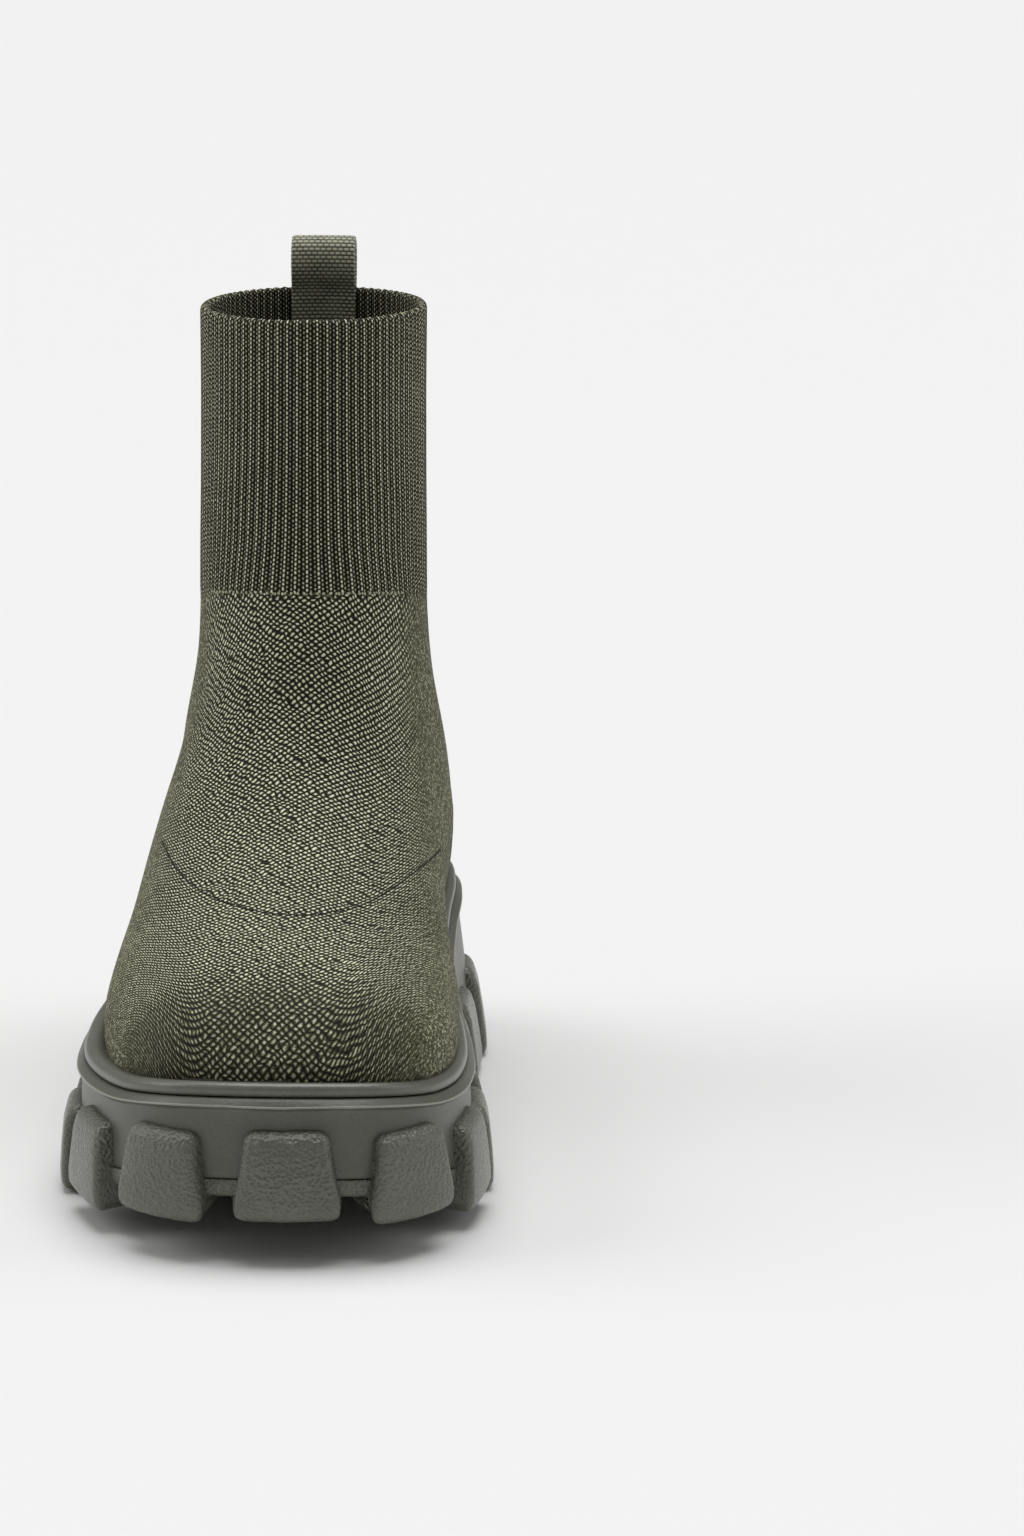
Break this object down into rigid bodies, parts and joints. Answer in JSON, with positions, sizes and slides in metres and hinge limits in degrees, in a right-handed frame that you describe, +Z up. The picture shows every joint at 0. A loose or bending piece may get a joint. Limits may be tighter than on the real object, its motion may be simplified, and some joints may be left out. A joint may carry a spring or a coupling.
{
  "type": "sock boot",
  "caption": "Knitted pull-on sock boot with a ribbed cuff, back pull loop and a thick rubber sole with lugs wrapping up its sides.",
  "frame": {"origin": "on the floor under the middle of the heel, on the flat tread block there", "axes": "+Z up, toe along -Y, heel along +Y, big-toe side +X"},
  "size_m": [0.122, 0.2918, 0.2429],
  "materials": {
    "outsole_rubber": "satin with a fine leather-like grain",
    "midsole_rubber": "smooth satin",
    "rand_rubber": "smooth satin",
    "insole_lining": "matte",
    "knit": "matte knit",
    "webbing": "matte weave"
  },
  "bodies": {
    "root": {"outsole": "outsole_rubber", "midsole": "midsole_rubber", "rand": "rand_rubber", "insole": "insole_lining", "upper": "knit", "pull_loop": "webbing"}
  },
  "joints": []
}
